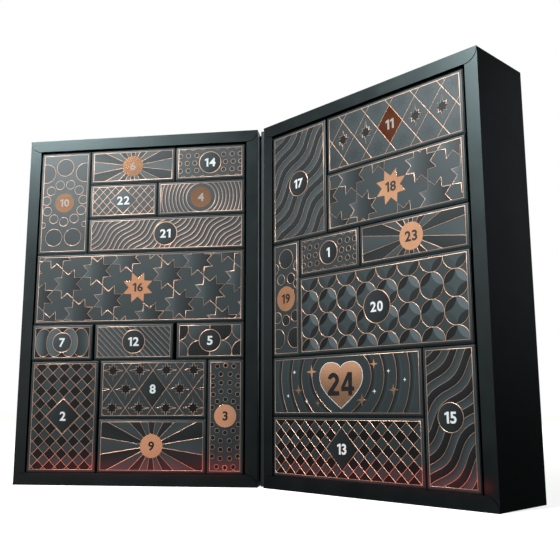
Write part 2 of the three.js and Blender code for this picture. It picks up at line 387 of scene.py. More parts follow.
# Both are modelled once. The copies at the foot and at the trays' right sides are turned over.
for side in ("left", "right"):
    rims = (
        ("top", lapping_rim, False),
        ("bottom", lapping_rim, True),
        ("outer", upright_rim, side == "right"),
        ("hinge", upright_rim, side == "left"),
    )
    for edge, pattern, turned_over in rims:
        name = f"{side}_tray_{edge}_rim"
        place = tray_place(side)
        if turned_over:
            place = place @ Matrix.Translation((TRAY_WIDTH, 0, TRAY_HEIGHT))
            place = place @ Matrix.Rotation(math.pi, 4, "Y")
        hand_over(copied(pattern, name), place, rim_paper, f"{side}_tray", [name])
bpy.data.objects.remove(lapping_rim)
bpy.data.objects.remove(upright_rim)


# The spine: a strip of tough paper, scored along both sides so that it folds at the trays' edges,
# with a stiff board rib glued down its middle and the paper drawn tight over it.
SPINE_HALF = 6.2 * MM
SPINE_PAPER = 0.6 * MM
SPINE_FRONT = 1.0 * MM
SPINE_END_GAP = 7 * MM
RIB_HALF = 3 * MM
RIB_FRONT = 0.3 * MM
RIB_THICKNESS = 2 * MM
RIB_END_GAP = 1 * MM
RIB_EDGE_RADIUS = 0.8 * MM
SPINE_EDGE_RADIUS = 0.2 * MM
SPINE_GREY = "0B0C0D"
SPINE_GREY_WORN = "121314"
spine_paper = wrapping_paper("scored_spine_paper", SPINE_GREY, SPINE_GREY_WORN, 0.6)
spine = block(
    "hinge_spine_strip",
    (-SPINE_HALF, SPINE_FRONT, SPINE_END_GAP),
    (SPINE_HALF, SPINE_FRONT + SPINE_PAPER, TRAY_HEIGHT - SPINE_END_GAP),
)
rib = block(
    "hinge_spine_rib",
    (-RIB_HALF, RIB_FRONT, RIB_END_GAP),
    (RIB_HALF, RIB_FRONT + RIB_THICKNESS, TRAY_HEIGHT - RIB_END_GAP),
)
round_edges(rib, RIB_EDGE_RADIUS)
round_edges(spine, SPINE_EDGE_RADIUS, 2)
join_to(spine, rib)
spine_place = Matrix.Translation((0, creases["right_crease"].y, 0))
hand_over(spine, spine_place, spine_paper, "hinge_spine", ["hinge_spine"])


# The carton boxes: sleeves of dark folding boxboard, creased and glued along one long edge, closed
# at the back, whose top panel runs on over the front as the flap.
CARD = 0.8 * MM
CARTON_EDGE_RADIUS = 1.2 * MM
FOLD_RADIUS = 0.75 * MM
FLAP_SEAT = 1.1 * MM
NEAR = 0.1 * MM
CARD_BLACK = "07080A"
CARD_BLACK_WORN = "0E1012"
carton_card = wrapping_paper("black_folding_boxboard", CARD_BLACK, CARD_BLACK_WORN, 0.48, grain=0.5 * MM)
LEFT_DAYS = (2, 3, 4, 5, 6, 7, 8, 9, 10, 12, 14, 16, 21, 22)


def tray_of(day):
    return "left" if day in LEFT_DAYS else "right"


def carton_box(day):
    """The lowest and highest corner of a carton, in its tray's own directions."""
    to_tray = tray_place(tray_of(day)).inverted()
    nodes = [frame["nodes"][f"carton_{day:02d}_{part}"] for part in ("body", "flap")]
    corners = [to_tray @ v.co for node in nodes for v in node.data.vertices]
    low = Vector([min(c[i] for c in corners) for i in range(3)])
    high = Vector([max(c[i] for c in corners) for i in range(3)])
    return low, high


carton_boxes = {day: carton_box(day) for day in range(1, 25)}


def carton_sleeve(day):
    low, high = carton_boxes[day]
    name = f"carton_{day:02d}"
    sleeve = block(f"{name}_sleeve", low, high)
    open_front(sleeve, low.y + MM)
    bevel_picked(sleeve, lambda a, b: abs(a.y - b.y) > MM, CARTON_EDGE_RADIUS)
    finish_with(sleeve, "SOLIDIFY", thickness=CARD, offset=-1.0)
    under_top = high.z - CARD - 0.01 * MM
    pick(sleeve, "EDGE", lambda a, b: max(a.y, b.y) < low.y + MM and min(a.z, b.z) < under_top)
    bpy.ops.transform.translate(value=(0, FLAP_SEAT, 0))
    bpy.ops.object.mode_set(mode="OBJECT")
    bevel_picked(
        sleeve, lambda a, b: max(a.y, b.y) < low.y + NEAR and min(a.z, b.z) > high.z - NEAR, FOLD_RADIUS)
    hand_over(sleeve, tray_place(tray_of(day)), carton_card, name, [f"{name}_body"])


for carton_day in carton_boxes:
    carton_sleeve(carton_day)


# The carton fronts: the flap that hangs from the fold, with a rounded tongue that tucks in at the
# bottom. Its face is offset printed in charcoal tones, laminated with a satin film and die cut, so
# that its edges are rolled over.
FOLD_GAP = 0.3 * MM
FACE_SIDE_INSET = 0.6 * MM
FACE_FOOT_INSET = 1.1 * MM
FACE_EDGE_DEPTH = 0.74 * MM
FACE_EDGE_WIDTH = 1.5 * MM
TONGUE_LENGTH = 12 * MM
TONGUE_INSET = 2.8 * MM
TONGUE_CORNER = 6.9 * MM
TONGUE_LIFT = 0.3 * MM
PRINT_FILM_TINT = "EEF7F6"
PRINT_TONES = ("040405", "1F2A2D", "566468")
PRINT_GLOSS = (0.30, 0.94)
PRINT_ROUGHNESS = 0.45
PLAIN_TONE = 0.5


# Satin laminated offset print on board: smooth, with a broad soft highlight. The tone map gives
# the ink at each place, from a duller rich black to a pale charcoal that shines more. The shine
# on the socket itself is the middle of that range, for an export that drops the link. The film's
# fine tooth is drawn at a third of a millimetre so that it shows.
def laminated_print(name):
    material, shader = new_material(name, {
        "Roughness": PRINT_ROUGHNESS, "IOR": 1.5, "Specular IOR Level": sum(PRINT_GLOSS) / 2,
        "Specular Tint": linear(PRINT_FILM_TINT)})
    own = add_node(material, "ShaderNodeTexCoord")
    tone_map = add_node(material, "ShaderNodeUVMap", uv_map="tone")
    tone = add_node(material, "ShaderNodeSeparateXYZ", {"Vector": tone_map.outputs["UV"]})
    cloud = add_node(material, "ShaderNodeTexNoise", {
        "Vector": own.outputs["Object"], "Scale": 1 / (60 * MM), "Detail": 3.0, "Roughness": 0.5})
    drift = add_node(material, "ShaderNodeMapRange", {
        "Value": cloud.outputs["Fac"], "From Min": 0.3, "From Max": 0.7, "To Min": -0.05, "To Max": 0.05})
    clouded = add_node(material, "ShaderNodeMath", {0: tone.outputs["X"], 1: drift.outputs["Result"]},
                       operation="ADD")
    gloss = add_node(material, "ShaderNodeMapRange", {
        "Value": tone.outputs["X"], "To Min": PRINT_GLOSS[0], "To Max": PRINT_GLOSS[1]})
    tint = add_node(material, "ShaderNodeValToRGB", {"Fac": clouded.outputs["Value"]})
    tint.color_ramp.elements[1].position = 0.5
    tint.color_ramp.elements.new(1.0)
    for stop, colour in zip(tint.color_ramp.elements, PRINT_TONES):
        stop.color = linear(colour)
    tooth = add_node(material, "ShaderNodeTexNoise", {
        "Vector": own.outputs["Object"], "Scale": 1 / (0.33 * MM), "Detail": 1.0})
    relief = add_node(material, "ShaderNodeBump", {
        "Height": tooth.outputs["Fac"], "Strength": 0.2, "Distance": 0.01 * MM})
    connect(material, shader, {
        "Base Color": tint.outputs["Color"],
        "Specular IOR Level": gloss.outputs["Result"],
        "Normal": relief.outputs["Normal"],
    })
    return material


printed_card = laminated_print("laminated_offset_print")


def carton_front(day):
    low, high = carton_boxes[day]
    name = f"carton_{day:02d}"
    top = high.z - CARD - FOLD_GAP
    front = block(
        f"{name}_front",
        (low.x + FACE_SIDE_INSET, low.y, low.z + FACE_FOOT_INSET),
        (high.x - FACE_SIDE_INSET, low.y + CARD, top),
    )
    # The rolled edges are wider than deep, so they are rounded while the face is stretched.
    stretch = FACE_EDGE_WIDTH / FACE_EDGE_DEPTH
    to_face = Matrix.Translation((0, low.y, 0))
    front.data.transform(to_face @ Matrix.Scale(stretch, 4, (0, 1, 0)) @ to_face.inverted())
    bevel_picked(front, lambda a, b: max(a.y, b.y) < low.y + NEAR, FACE_EDGE_WIDTH)
    front.data.transform(to_face @ Matrix.Scale(1 / stretch, 4, (0, 1, 0)) @ to_face.inverted())
    tongue = block(
        f"{name}_tongue",
        (low.x + TONGUE_INSET, 0, 0),
        (high.x - TONGUE_INSET, TONGUE_LENGTH + CARD / 2, CARD),
    )
    bevel_picked(tongue, lambda a, b: abs(a.z - b.z) > NEAR and min(a.y, b.y) > MM, TONGUE_CORNER, 6)
    rise = TONGUE_LENGTH ** 2 / (2 * (top - low.z)) + TONGUE_LIFT
    tongue.data.transform(
        Matrix.Translation((0, low.y + CARD / 2, low.z + CARD + FOLD_GAP))
        @ Matrix.Rotation(math.atan2(rise, TONGUE_LENGTH), 4, "X")
    )
    join_to(front, tongue)
    tone_map = front.data.uv_layers.new(name="tone")
    for corner in tone_map.data:
        corner.uv = (PLAIN_TONE, 0.5)
    place = tray_place(tray_of(day))
    hand_over(front, place, printed_card, f"{name}_flap", [f"{name}_flap"])


for carton_day in carton_boxes:
    carton_front(carton_day)


# The foil: copper leaf that a heated die presses on in thin lines and solid shapes. Each line comes
# out slightly domed, and each front has a bolder frame line just inside its edges.
FRAME_INSET = 4.0
FRAME_LINE = 0.9
FINE_LINE = 0.64
HAIR_LINE = 0.4
LINE_HEIGHT = 0.18
LINE_SMOOTH = 42
SOLID_HEIGHT = 0.10
FOIL_COPPER = "E8B692"
FOIL_COPPER_DEEP = "DFAA85"
FOIL_LINE_HIGHLIGHT = "E6C0A6"
FOIL_LINE_HIGHLIGHT_DEEP = "DBAA8C"
FOIL_PAINTED_SHADE = "B88B69"
FOIL_PAINTED_SHADE_DEEP = "AC7E5E"
FOIL_DARKEST_SHADE = "8A5038"
FOIL_DARKEST_SHADE_DEEP = "74402C"
FOIL_METAL = 0.8


# Hot-stamped copper foil on board: a metal layer, made slightly uneven and satin by the card's
# tooth under it, so that it flashes pale where it faces a lamp.
def stamped_foil(name, colour, deep_colour, roughness):
    material, shader = new_material(name, {"Metallic": FOIL_METAL, "Roughness": roughness})
    own = add_node(material, "ShaderNodeTexCoord")
    drift = add_node(material, "ShaderNodeTexNoise", {
        "Vector": own.outputs["Object"], "Scale": 1 / (25 * MM), "Detail": 2.0})
    tint = add_node(material, "ShaderNodeValToRGB", {"Fac": drift.outputs["Fac"]})
    tint.color_ramp.elements[0].position = 0.3
    tint.color_ramp.elements[0].color = linear(deep_colour)
    tint.color_ramp.elements[1].position = 0.7
    tint.color_ramp.elements[1].color = linear(colour)
    tooth = add_node(material, "ShaderNodeTexNoise", {
        "Vector": own.outputs["Object"], "Scale": 1 / (0.8 * MM), "Detail": 2.0})
    relief = add_node(material, "ShaderNodeBump", {
        "Height": tooth.outputs["Fac"], "Strength": 0.04, "Distance": 0.02 * MM})
    connect(material, shader, {"Base Color": tint.outputs["Color"], "Normal": relief.outputs["Normal"]})
    return material


# The lines are a paler, greyer copper than the solids: painted highlight, for the whitish sheen along them.
line_foil = stamped_foil("stamped_copper_foil_lines", FOIL_LINE_HIGHLIGHT, FOIL_LINE_HIGHLIGHT_DEEP, 0.36)
solid_foil = stamped_foil("stamped_copper_foil_solids", FOIL_COPPER, FOIL_COPPER_DEEP, 0.15)
# A darker copy of the copper for the discs of 6 and 19: painted shade, where their foil mirrors a dark part
# of the room.
shade_painted_foil = stamped_foil("copper_foil_with_painted_shade", FOIL_PAINTED_SHADE, FOIL_PAINTED_SHADE_DEEP, 0.2)
# A darker copy still, for the diamond of 11: painted shade of the same kind.
deep_shade_painted_foil = stamped_foil("stamped_bronze_foil", FOIL_DARKEST_SHADE, FOIL_DARKEST_SHADE_DEEP, 0.2)


def face_place(day):
    """From millimetres across, up and out from the middle of a carton's face to the calendar."""
    low, high = carton_boxes[day]
    middle = Matrix.Translation(((low.x + high.x) / 2, low.y, (low.z + high.z) / 2))
    return tray_place(tray_of(day)) @ middle @ Matrix.Rotation(math.pi / 2, 4, "X") @ Matrix.Scale(MM, 4)


def frame_half(day):
    """Half the width and height of the foil frame, in millimetres."""
    low, high = carton_boxes[day]
    return (high.x - low.x) / 2 / MM - FRAME_INSET, (high.z - low.z) / 2 / MM - FRAME_INSET


def press_on(day, piece, finish, smooth=35):
    """Puts foil, ink or a number on a front, where it rides on the flap."""
    hand_over(piece, face_place(day), finish, f"carton_{day:02d}_flap", smooth=smooth)


def circle(x, y, radius, steps=40):
    turns = [math.tau * k / steps for k in range(steps)]
    return [(x + radius * math.cos(turn), y + radius * math.sin(turn)) for turn in turns], True


def disc(radius):
    """The outline of a solid disc in the middle of a front."""
    return circle(0, 0, radius, 72)


def star(x, y, radii, points=8, turned=0.0):
    """A star whose corners lie at these distances in turn."""
    corners = []
    for k in range(2 * points):
        turn = math.radians(turned) + math.pi * k / points
        radius = radii[k % len(radii)]
        corners.append((x + radius * math.cos(turn), y + radius * math.sin(turn)))
    return corners, True


def diamond(x, y, half_width, half_height):
    return [(x + half_width, y), (x, y + half_height), (x - half_width, y), (x, y - half_height)], True


def between(start, end, share):
    return (start[0] + (end[0] - start[0]) * share, start[1] + (end[1] - start[1]) * share)


def edge_point(kept, dropped, stays):
    """Where a line between two points leaves the area that stays."""
    for _ in range(12):
        middle = between(kept, dropped, 0.5)
        if stays(*middle):
            kept = middle
        else:
            dropped = middle
    return kept


def trimmed(strokes, stays, step=1.0):
    """Only the stretches of the strokes that lie where they may stay."""
    kept = []
    for points, closed in strokes:
        if closed and all(stays(*point) for point in points):
            kept.append((points, True))
            continue
        path = points + points[:1] if closed else points
        run = [path[0]] if stays(*path[0]) else []
        for start, end in zip(path, path[1:]):
            count = max(1, math.ceil(math.dist(start, end) / step))
            for k in range(count):
                here, ahead = between(start, end, k / count), between(start, end, (k + 1) / count)
                if run and not stays(*ahead):
                    kept.append((run + [edge_point(here, ahead, stays)], False))
                    run = []
                elif not run and stays(*ahead):
                    run = [edge_point(ahead, here, stays)]
            if run:
                run.append(end)
        kept.append((run, False))
    return [(run, closed) for run, closed in kept if len(run) > 1]


def in_frame(day):
    half_width, half_height = frame_half(day)
    return lambda x, y: abs(x) < half_width and abs(y) < half_height


def outside(radius):
    return lambda x, y: math.hypot(x, y) > radius


def drawn_curve(name, strokes, **settings):
    """Strokes in millimetres as a curve with these settings, made a mesh."""
    curve = bpy.data.curves.new(name, "CURVE")
    for setting, value in settings.items():
        setattr(curve, setting, value)
    for points, closed in strokes:
        spline = curve.splines.new("POLY")
        spline.points.add(len(points) - 1)
        for spot, (x, y) in zip(spline.points, points):
            spot.co = (x, y, 0, 1)
        spline.use_cyclic_u = closed
    piece = bpy.data.objects.new(name, curve)
    bpy.context.collection.objects.link(piece)
    select_only(piece)
    bpy.ops.object.convert(target="MESH")
    return bpy.context.object


def foil_lines(name, strokes, width):
    piece = drawn_curve(
        name, strokes, dimensions="3D", fill_mode="FULL", twist_mode="Z_UP",
        bevel_depth=width / 2, bevel_resolution=2, use_fill_caps=True,
    )
    piece.data.transform(Matrix.Scale(2 * LINE_HEIGHT / width, 4, (0, 0, 1)))
    return piece


def foil_solid(name, outline):
    return drawn_curve(
        name, [outline], dimensions="2D", fill_mode="BOTH", extrude=SOLID_HEIGHT / 2,
        bevel_depth=SOLID_HEIGHT / 2, bevel_resolution=1,
    )


def stamp(day, fine=(), bold=(), solids=(), hair=(), solid_finish=None):
    """Presses a front's foil: its frame and other bold lines, fine lines and solid shapes."""
    name = f"carton_{day:02d}_foil"
    half_width, half_height = frame_half(day)
    corners = [(-half_width, -half_height), (half_width, -half_height),
               (half_width, half_height), (-half_width, half_height)]
    parts = [foil_lines(name, [(corners, True), *bold], FRAME_LINE)]
    for strokes, width in ((fine, FINE_LINE), (hair, HAIR_LINE)):
        strokes = trimmed(strokes, in_frame(day))
        if strokes:
            parts.append(foil_lines(f"{name}_lines", strokes, width))
    press_on(day, join_to(*parts), line_foil, LINE_SMOOTH)
    if solids:
        shapes = [foil_solid(f"{name}_shape", outline) for outline in solids]
        press_on(day, join_to(*shapes), solid_finish or solid_foil)


# The tone print under the foil: shapes in lighter and darker charcoal, with gradients, laid down
# as flat sheets of ink. They are made point by point, because each point carries its own tone.
INK_HEIGHT = 0.03
MEDALLION_HEIGHT = 0.06
MEDALLION_TONES = (0.42, 0.06)


def cut_to_frame(shape, half_width, half_height):
    """A shape of points with tones, cut off at the frame."""
    sides = ((0, 1, half_width), (0, -1, half_width), (1, 1, half_height), (1, -1, half_height))
    for axis, side, limit in sides:
        cut = []
        for here, ahead in zip(shape, shape[1:] + shape[:1]):
            room, next_room = limit - side * here[axis], limit - side * ahead[axis]
            if room >= 0:
                cut.append(here)
            if room * next_room < 0:
                share = room / (room - next_room)
                cut.append(tuple(a + (b - a) * share for a, b in zip(here, ahead)))
        shape = cut
    return shape


def toned(outline, tone):
    """An outline's points, each with one tone, or with the tone that a rule gives there."""
    return [(x, y, tone(x, y) if callable(tone) else tone) for x, y in outline[0]]


def fade(x, y, reach_x, reach_y, start, end):
    """A tone that goes evenly from a start value at (x, y) to an end value."""
    length = reach_x ** 2 + reach_y ** 2
    return lambda px, py: start + (end - start) * min(
        1.0, max(0.0, ((px - x) * reach_x + (py - y) * reach_y) / length))


def printed(day, shapes, kind="tones", height=INK_HEIGHT):
    corners, tones, faces = [], [], []
    for shape in shapes:
        shape = cut_to_frame(shape, *frame_half(day))
        turns = sum(a[0] * b[1] - b[0] * a[1] for a, b in zip(shape, shape[1:] + shape[:1]))
        if abs(turns) > 0.02:
            if turns < 0:
                shape.reverse()
            faces.append(range(len(corners), len(corners) + len(shape)))
            corners += [(x, y, height) for x, y, _ in shape]
            tones += [tone for _, _, tone in shape]
    name = f"carton_{day:02d}_{kind}"
    mesh = bpy.data.meshes.new(name)
    mesh.from_pydata(corners, [], faces)
    tone_map = mesh.uv_layers.new(name="tone")
    for loop in mesh.loops:
        tone_map.data[loop.index].uv = (tones[loop.vertex_index], 0.5)
    sheet = bpy.data.objects.new(name, mesh)
    bpy.context.collection.objects.link(sheet)
    press_on(day, sheet, printed_card)


def medallion(day, outline, tones=MEDALLION_TONES):
    """The plain field behind a number, lighter at its upper left."""
    reach = max(abs(x) for x, _ in outline[0])
    rule = fade(-reach, 0.4 * reach, 2 * reach, -0.8 * reach, *tones)
    printed(day, [toned(outline, rule)], "medallion", MEDALLION_HEIGHT)


# The numbers: plain bold figures from 1 to 24 in the middle of the fronts, screen printed in white
# or left bare of foil so that the dark card shows. On four foil shapes they are a pale grey ink:
# painted highlight, for the sheen of the bare card.
NUMBER_HEIGHT = 11.8
NUMBER_STAND = 0.16
NUMBER_BOLD = 0.028
FIGURE_ONE = [[(0.20, 0.0), (0.41, 0.0), (0.41, 1.0), (0.24, 1.0), (0.0, 0.87), (0.0, 0.68), (0.20, 0.77)]]
TWO_BOWL = (0.32, 0.69, 0.31, 0.11)
BIG_FOUR = [
    [(0.38, 0.0), (0.59, 0.0), (0.59, 0.19), (0.70, 0.19), (0.70, 0.38), (0.59, 0.38),
     (0.59, 1.0), (0.36, 1.0), (0.0, 0.36), (0.0, 0.19), (0.38, 0.19)],
    [(0.38, 0.38), (0.38, 0.68), (0.20, 0.38)],
]
FIGURE_GAP = 0.11
FIGURE_DEPTH = 0.02
NUMBER_WIDTH = 1.05
WHITE_DAYS = (1, 2, 5, 7, 8, 12, 13, 14, 15, 17, 20, 21, 22)
SHEEN_DAYS = (4, 6, 10, 11)
NUMBER_WHITE = "EAEBEA"
NUMBER_SHEEN = "A89F95"
BARE_CARD = "0A0B0C"


# White screen ink: thick, matt and nearly opaque, so it stays bright wherever the light comes from.
def screen_ink(name, colour, roughness):
    material, shader = new_material(name, {"Roughness": roughness, "Specular IOR Level": 0.5})
    own = add_node(material, "ShaderNodeTexCoord")
    cover = add_node(material, "ShaderNodeTexNoise", {
        "Vector": own.outputs["Object"], "Scale": 1 / (3 * MM), "Detail": 3.0})
    tint = add_node(material, "ShaderNodeValToRGB", {"Fac": cover.outputs["Fac"]})
    tint.color_ramp.elements[0].position = 0.25
    tint.color_ramp.elements[0].color = [0.9 * part for part in linear(colour)]
    tint.color_ramp.elements[1].position = 0.5
    tint.color_ramp.elements[1].color = linear(colour)
    connect(material, shader, {"Base Color": tint.outputs["Color"]})
    return material


white_ink = screen_ink("white_screen_ink", NUMBER_WHITE, 0.6)
# The pale grey ink is painted highlight: the sheen of bare card on four foil shapes.
sheen_ink = screen_ink("grey_ink_painted_sheen", NUMBER_SHEEN, 0.5)
bare_card = screen_ink("bare_charcoal_card", BARE_CARD, 0.45)
number_inks = {**dict.fromkeys(WHITE_DAYS, white_ink), **dict.fromkeys(SHEEN_DAYS, sheen_ink)}


def big_two():
    """The two of the heart: a bowl, a straight diagonal and a foot."""
    x, y, outer, inner = TWO_BOWL
    turns = [math.radians(-36 + 206 * k / 24) for k in range(25)]
    bowl = [(x + outer * math.cos(turn), y + outer * math.sin(turn)) for turn in turns]
    bowl += [(x + inner * math.cos(turn), y + inner * math.sin(turn)) for turn in turns[::-1]]
    return [[(0.0, 0.0), (0.64, 0.0), (0.64, 0.20), (0.31, 0.20), *bowl, (0.0, 0.17)]]


def figure(day, digit):
    """A digit, one unit high, that starts at x = 0. The ones and the heart's digits are drawn."""
    name = f"carton_{day:02d}_number"
    drawn = {"1": FIGURE_ONE, "2": big_two(), "4": BIG_FOUR}
    if digit == "1" or day == 24:
        outlines = [(outline, True) for outline in drawn[digit]]
        piece = drawn_curve(name, outlines, dimensions="2D", fill_mode="BOTH", extrude=FIGURE_DEPTH)
    else:
        bpy.ops.object.select_all(action="DESELECT")
        bpy.ops.object.text_add()
        letter = bpy.context.object
        letter.name = name
        letter.data.body = digit
        letter.data.offset = NUMBER_BOLD
        letter.data.extrude = FIGURE_DEPTH
        letter.data.resolution_u = 5
        bpy.ops.object.convert(target="MESH")
        piece = bpy.context.object
    corners = [v.co for v in piece.data.vertices]
    left = min(c.x for c in corners)
    low, high = min(c.y for c in corners), max(c.y for c in corners)
    deep = max(c.z for c in corners)
    to_unit = Matrix.Diagonal((1 / (high - low), 1 / (high - low), 1 / deep, 1))
    piece.data.transform(to_unit @ Matrix.Translation((-left, -low, 0)))
    return piece


def number(day, height=NUMBER_HEIGHT, y=0.0):
    figures, across = [], 0.0
    for digit in str(day):
        piece = figure(day, digit)
        piece.data.transform(Matrix.Translation((across, 0, 0)))
        across = max(v.co.x for v in piece.data.vertices) + FIGURE_GAP
        figures.append(piece)
    whole = join_to(*figures)
    scale = Matrix.Diagonal((NUMBER_WIDTH * height, height, NUMBER_STAND, 1))
    centred = Matrix.Translation((-(across - FIGURE_GAP) / 2, -0.5, 0))
    whole.data.transform(Matrix.Translation((0, y, 0)) @ scale @ centred)
    press_on(day, whole, number_inks.get(day, bare_card))


# Fronts 6, 9 and 23, sunbursts: a solid foil disc with twenty rays to the frame, over sectors that
# are printed in turn lighter and darker.
RAYS = 20
RAY_REACH = 200
SUN_DISCS = {6: 14.5, 9: 15.0, 23: 15.6}
LIGHT_SECTOR = (0.64, 0.48)
DARK_SECTOR = (0.0, 0.40)
for day, radius in SUN_DISCS.items():
    turns = [math.tau * (k + 0.5) / RAYS for k in range(RAYS)]
    far = [(RAY_REACH * math.cos(turn), RAY_REACH * math.sin(turn)) for turn in turns]
    sectors = []
    for k, (corner, next_corner) in enumerate(zip(far, far[1:] + far[:1])):
        first, last = DARK_SECTOR if k % 2 == 0 else LIGHT_SECTOR
        sectors.append([(0, 0, (first + last) / 2), (*corner, first), (*next_corner, last)])
    printed(day, sectors)
    rays = [([between((0, 0), corner, radius / RAY_REACH), corner], False) for corner in far]
    # The disc of 6 takes the darker copper with painted shade.
    finish = shade_painted_foil if day == 6 else solid_foil
    stamp(day, fine=rays, solids=[disc(radius)], solid_finish=finish)
    number(day)


# Fronts 1, 3 and 14, dotted: small foil rings in rows, round a plain ring or a solid disc.
DOT_ROWS = {0.0: (21.4, 32.0, 42.6), 10.6: (18.6, 30.4, 41.6), 21.2: (10.4, 24.0, 37.0)}
DOT_RINGS = {1: (14.2, 3.4), 14: (15.0, 3.1)}
DOT_PLACES = (
    (0, 20.9), (10.5, 18.3), (17.0, 10.7), (5.8, 31.1), (16.0, 27.3), (5.8, 42.1), (16.4, 39.0),
    (6.1, 53.1), (16.6, 50.3), (10.8, 63.4), (0.4, 64.4),
)
DOT_3 = 2.9


def mirrored(x, y):
    """A place, and where it comes again across and up from the middle."""
    return sorted({(x, y), (-x, y), (x, -y), (-x, -y)})


def ringed(day, radius, fine=(), hair=(), tones=MEDALLION_TONES, steps=48):
    """A front with its number on a plain field in a bold ring, and lines that end at the ring."""
    ring = circle(0, 0, radius, steps)
    medallion(day, ring, tones)
    stamp(day, fine=trimmed(fine, outside(radius)), hair=trimmed(hair, outside(radius)), bold=[ring])
    number(day)


for day, (radius, dot) in DOT_RINGS.items():
    dots = []
    for up, columns in DOT_ROWS.items():
        for across in columns:
            dots += [circle(x, y, dot, 20) for x, y in mirrored(across, up)]
    printed(day, [toned(outline, 0.25) for outline in dots])
    ringed(day, radius, hair=dots)
dots = []
for across, up in DOT_PLACES:
    dots += [circle(x, y, DOT_3, 20) for x, y in mirrored(across, up)]
stamp(3, hair=dots, solids=[disc(14.4)])
printed(3, [toned(outline, 0.05) for outline in dots])
number(3)


# Fronts 10 and 19, sprays of circles: a foil disc with rings of several sizes round it. The large
# ones on 10 are filled with a flat tone, and all of those on 19 with a tone that fades. Each ring
# is given by its place, its radius and, on 19, its tone.
TEN_LARGE = (
    (-1, 51, 12.3), (-28.3, 43, 13.4), (28.3, 43, 13.4), (-13.5, -49, 12), (13.8, -49, 12),
    (-30.3, -31, 4), (30.3, -31, 4),
)
TEN_TURNS = (16.4, 49.0, 81.8, 114.5, 147.0)
NINETEEN = (
    (0, 51, 12.3, 0.2), (-8.7, 25, 6.6, 0.4), (8.7, 25, 6.6, 0.05), (-15.3, -23.3, 7, 0.4),
    (0, -27.5, 6.7, 0.1), (16, -22.8, 7, 0.05), (-14.5, -50, 12.2, 0.3), (15.5, -50, 12.5, 0.02),
    (19.5, 17.5, 6.0, 0.1), (-20.5, 40, 7.0, 0.4), (20.5, 40, 7.0, 0.4),
)
small = []
for turn in (180.0, *TEN_TURNS, *[-turn for turn in TEN_TURNS]):
    small.append(circle(27 * math.sin(math.radians(turn)), 27 * math.cos(math.radians(turn)), 6.3, 28))
printed(10, [toned(circle(x, y, r, 36), 0.36) for x, y, r in TEN_LARGE if r > 11])
stamp(10, fine=small + [circle(*row) for row in TEN_LARGE], solids=[disc(13.7)])
number(10, height=10.6)
fills = []
for x, y, r, tone in NINETEEN:
    fills.append(toned(circle(x, y, r, 32), fade(x - r, y + r, 2 * r, -2 * r, tone + 0.25, tone)))
printed(19, fills)
# The disc of 19 takes the darker copper with painted shade.
stamp(19, fine=[circle(x, y, r) for x, y, r, _ in NINETEEN], solids=[disc(15.8)], solid_finish=shade_painted_foil)
number(19)


# Front 22, a plain diamond on slanting lines that cross, of which one way is finer, and front 12,
# a ring on stripes that each fade from one line to the next.
LINE_RISE = 33
CROSSING_SPACING = 11.7
CROSSING_RUN = 30
DIAMOND_22 = (19.3, 18.0)
STRIPE_SPACING = 7.9
STRIPE_RUN = 32.5
STRIPE_START = 3.3


def slanted(x, run, rise, middle=0.0):
    """A straight stroke that crosses x at half its height, and how far it runs and rises each way."""
    return [(x - run, middle - rise), (x + run, middle + rise)], False


def outside_diamond(half_wide, half_high):
    return lambda x, y: abs(x) / half_wide + abs(y) / half_high > 1


rising, falling = [], []
for k in range(-6, 7):
    rising.append(slanted((k + 0.5) * CROSSING_SPACING, CROSSING_RUN, LINE_RISE))
    falling.append(slanted((k + 0.5) * CROSSING_SPACING, CROSSING_RUN, -LINE_RISE))
clear = outside_diamond(*DIAMOND_22)
stamp(22, fine=trimmed(rising, clear) + [diamond(0, 0, *DIAMOND_22)], hair=trimmed(falling, clear))
medallion(22, diamond(0, 0, *DIAMOND_22), tones=(0.62, 0.40))
number(22)
stripes, bands = [], []
for k in range(-9, 10):
    x = k * STRIPE_SPACING + STRIPE_START
    stripe = slanted(x, STRIPE_RUN, -LINE_RISE)
    next_stripe = slanted(x + STRIPE_SPACING, STRIPE_RUN, -LINE_RISE)
    stripes.append(stripe)
    bands.append(toned(stripe, 0.85) + toned(next_stripe, 0.35 if x < 0 else 0.08)[::-1])
printed(12, bands)
ringed(12, 15.4, hair=stripes)


# Front 4, ripples: a solid disc inside rings that run out to the frame, with shaded bands between.
RIPPLE_START = 19.9
RIPPLE_SPACING = 4.9
RIPPLE_STEPS = 96
ripples, shades = [], []
for k in range(9):
    radius = RIPPLE_START + k * RIPPLE_SPACING
    inner, closed = circle(0, 0, radius, RIPPLE_STEPS)
    outer, _ = circle(0, 0, radius + RIPPLE_SPACING, RIPPLE_STEPS)
    ripples.append((inner, closed))
    for j in range(RIPPLE_STEPS):
        n = (j + 1) % RIPPLE_STEPS
        shades.append([(*inner[j], 0.92), (*outer[j], 0.16), (*outer[n], 0.16), (*inner[n], 0.92)])
printed(4, shades)
stamp(4, fine=ripples, solids=[disc(14.5)])
number(4)


